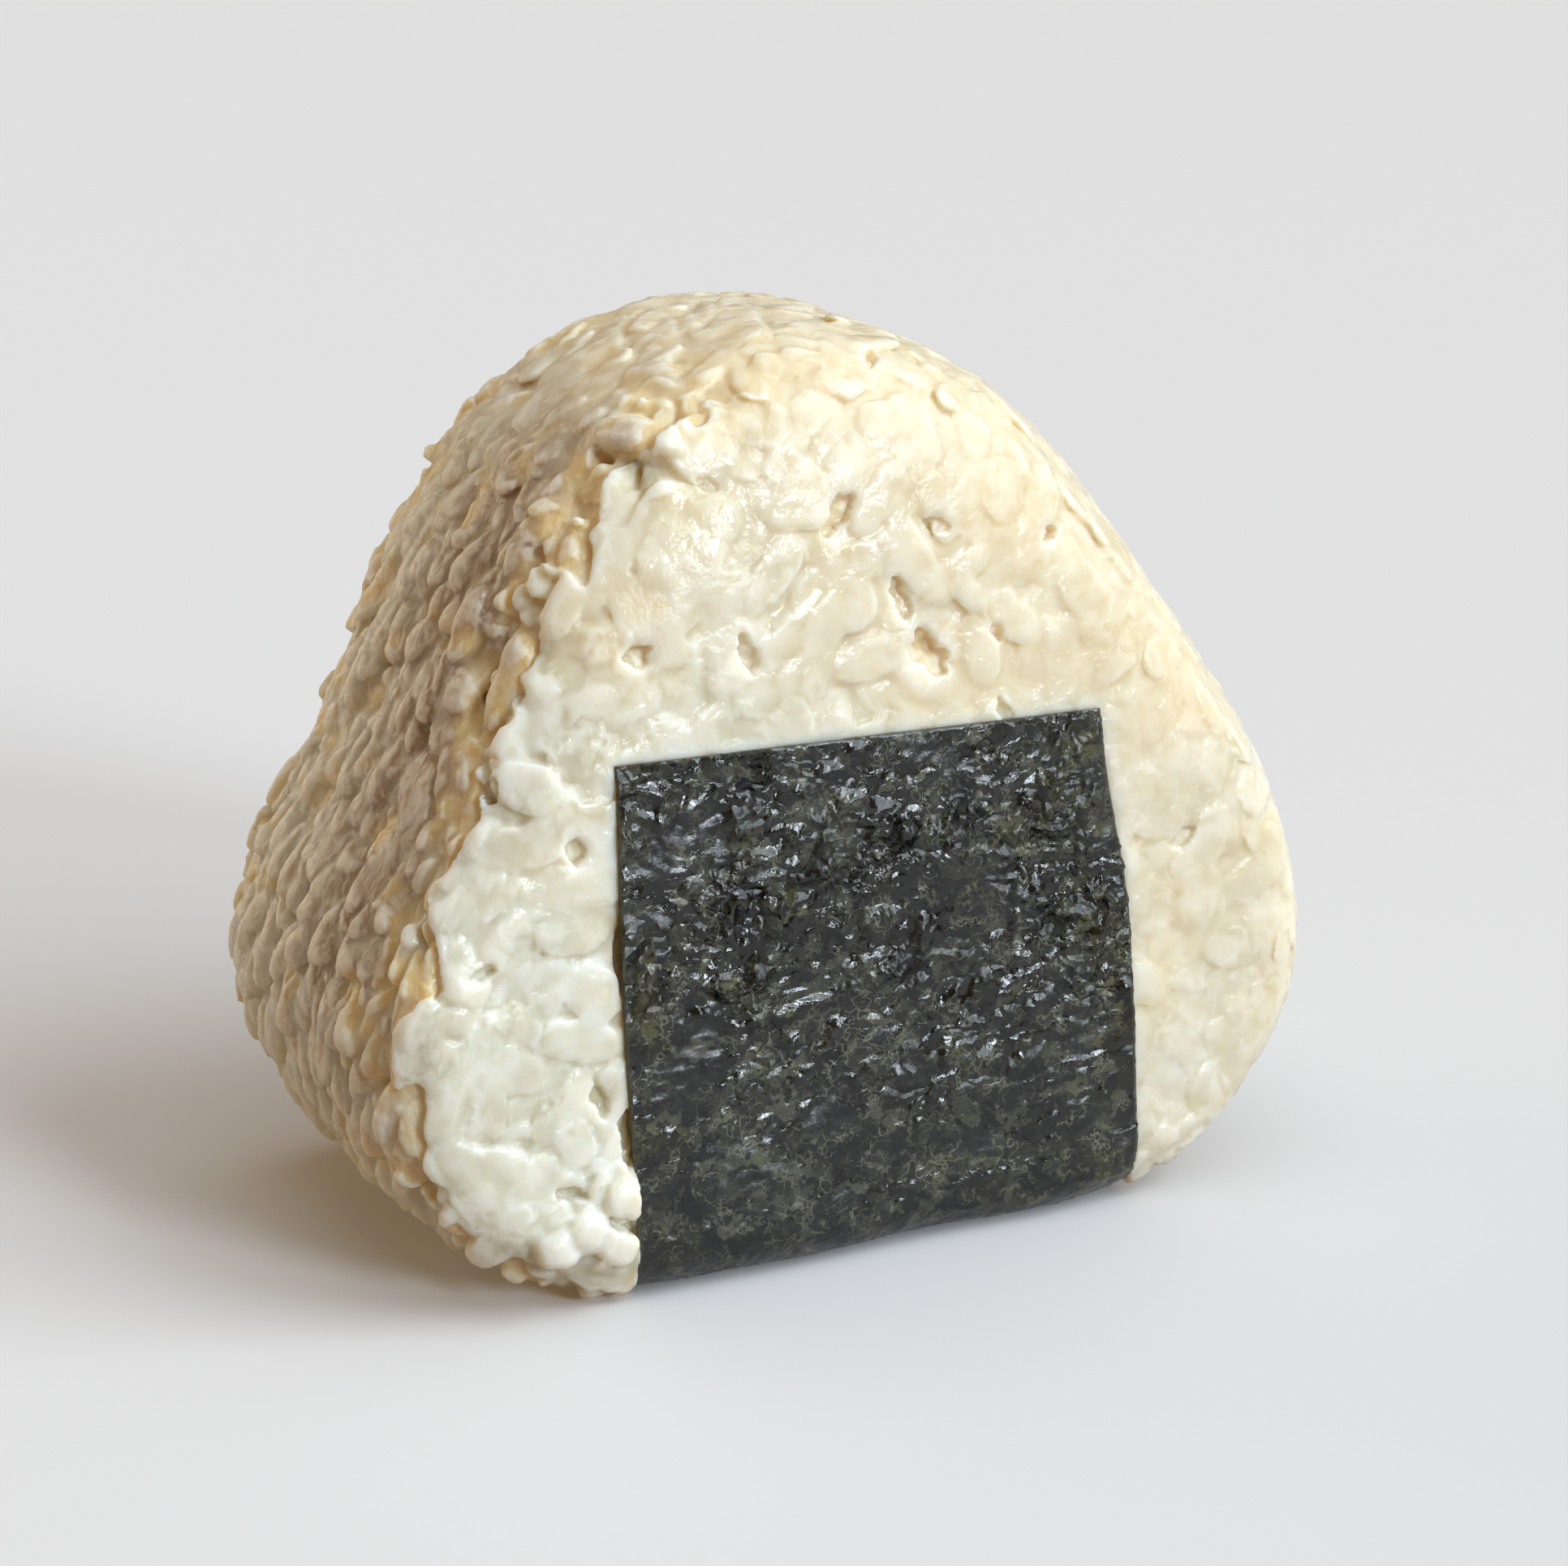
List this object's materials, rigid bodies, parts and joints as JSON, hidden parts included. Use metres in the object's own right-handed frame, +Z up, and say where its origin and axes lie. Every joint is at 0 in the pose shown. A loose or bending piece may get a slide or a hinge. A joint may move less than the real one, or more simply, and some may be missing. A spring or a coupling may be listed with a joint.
{
  "type": "rice ball",
  "caption": "Triangular pressed rice ball standing on its base, with a strip of dried seaweed folded under it and up its front and back.",
  "frame": {"origin": "on the floor, on the flat underside of the nori strip, midway between the left and right sides of the base", "axes": "+X to the right along the triangle's width, -Y out of the front face, +Z up"},
  "size_m": [0.0863, 0.0467, 0.0744],
  "materials": {
    "rice": "cooked short-grain rice, moist and slightly translucent, warm white",
    "nori": "dried seaweed sheet, dark green to black, crinkled, with a patchy shine"
  },
  "bodies": {
    "root": {"rice": "rice", "nori": "nori"}
  },
  "joints": []
}
